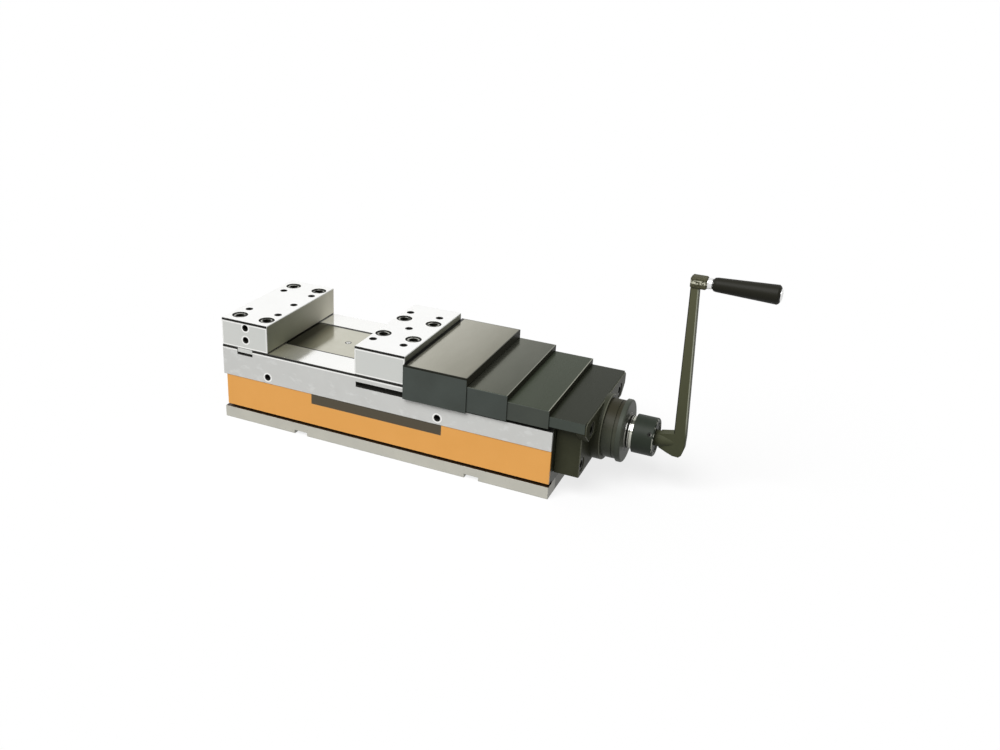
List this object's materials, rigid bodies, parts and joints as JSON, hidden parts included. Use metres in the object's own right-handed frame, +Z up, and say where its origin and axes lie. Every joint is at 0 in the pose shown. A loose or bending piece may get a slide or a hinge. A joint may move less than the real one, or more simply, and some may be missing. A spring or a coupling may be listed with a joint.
{
  "type": "hydraulic machine vise",
  "caption": "Long machine vise whose hand crank drives the movable jaw by a spindle and clamps it hard with an oil booster in the hub, under telescopic covers.",
  "frame": {"origin": "middle of the bed's underside", "axes": "+X along the bed from the fixed jaw towards the crank, +Y across the jaws, +Z up from the machine table"},
  "size_m": [0.6392, 0.169, 0.2648],
  "materials": {
    "bed_iron": "ground faces, painted recess",
    "jaw_steel": "ground",
    "screw_steel": "satin",
    "slide_iron": "machined",
    "channel_steel": "ground, lightly oiled",
    "cover_steel": "dark satin sheet",
    "hub_dark": "blackened",
    "hub_face": "blackened, worn grey",
    "bright_steel": "polished",
    "bronze": "machined",
    "seal_rubber": "matt",
    "crank_steel": "blackened forging",
    "grip_plastic": "satin",
    "chrome": "polished"
  },
  "bodies": {
    "vise": {"bed": "bed_iron", "fixed_jaw": "jaw_steel", "fixed_jaw_screws": "screw_steel", "front_bush": "bronze", "end_cover": "cover_steel", "end_cover_screws": "screw_steel", "end_bracket": "hub_dark", "bracket_screws": "screw_steel", "hub_housing": "hub_dark", "hub_bush": "bronze", "end_cap": "hub_face", "end_cap_seal": "seal_rubber", "fixed_race": "bright_steel"},
    "slide": {"slide": "slide_iron", "spindle_nut": "bronze", "nut_screws": "screw_steel", "movable_jaw": "jaw_steel", "movable_jaw_screws": "screw_steel", "channel_plate": "channel_steel", "plate_screw": "screw_steel", "cover_1": "cover_steel", "cover_screws": "screw_steel"},
    "middle_cover": {"cover_2": "cover_steel"},
    "inner_cover": {"cover_3": "cover_steel"},
    "booster": {"booster_cylinder": "hub_dark", "cylinder_head": "hub_dark", "head_seal": "seal_rubber", "plunger_seal": "seal_rubber", "snap_ring": "screw_steel", "disc_springs": "screw_steel", "turning_race": "bright_steel", "thrust_balls": "bright_steel", "ball_cage": "bronze"},
    "spindle": {"spindle": "bright_steel", "spindle_key": "screw_steel", "booster_piston": "bright_steel", "piston_seal": "seal_rubber", "piston_nut": "screw_steel"},
    "drive": {"plunger": "bright_steel", "ring_sleeve": "bright_steel", "friction_ring": "bronze", "coupling": "hub_dark", "crank": "crank_steel", "crank_screw": "screw_steel", "grip_collar": "chrome", "grip_bolt": "chrome"},
    "grip": {"grip": "grip_plastic"}
  },
  "joints": [
    {"name": "crank_turn", "type": "hinge", "parent": "vise", "child": "booster", "pos_m": [0.2175, 0, 0.0655], "axis": [1, 0, 0], "range_deg": [-8712, 6408]},
    {"name": "jaw_slide", "type": "slide", "parent": "vise", "child": "slide", "axis": [1, 0, 0], "range_m": [-0.12101, 0.08901]},
    {"name": "cover_2_slide", "type": "slide", "parent": "vise", "child": "middle_cover", "axis": [1, 0, 0], "range_m": [-0.08068, 0.05935]},
    {"name": "cover_3_slide", "type": "slide", "parent": "vise", "child": "inner_cover", "axis": [1, 0, 0], "range_m": [-0.04034, 0.02968]},
    {"name": "pressure_feed", "type": "slide", "parent": "booster", "child": "drive", "axis": [-1, 0, 0], "range_m": [0, 0.008]},
    {"name": "booster_stroke", "type": "slide", "parent": "booster", "child": "spindle", "axis": [-1, 0, 0], "range_m": [0, 0.0009]},
    {"name": "grip_spin", "type": "hinge", "parent": "drive", "child": "grip", "pos_m": [0.386, 0, 0.2545], "axis": [1, 0, 0], "continuous": true}
  ],
  "couplings": [
    {"joint": "jaw_slide", "follows": "crank_turn", "m_per_rad": 0.00079577},
    {"joint": "cover_2_slide", "follows": "crank_turn", "m_per_rad": 0.00053052},
    {"joint": "cover_3_slide", "follows": "crank_turn", "m_per_rad": 0.00026526},
    {"joint": "booster_stroke", "follows": "pressure_feed", "ratio": 0.111}
  ]
}
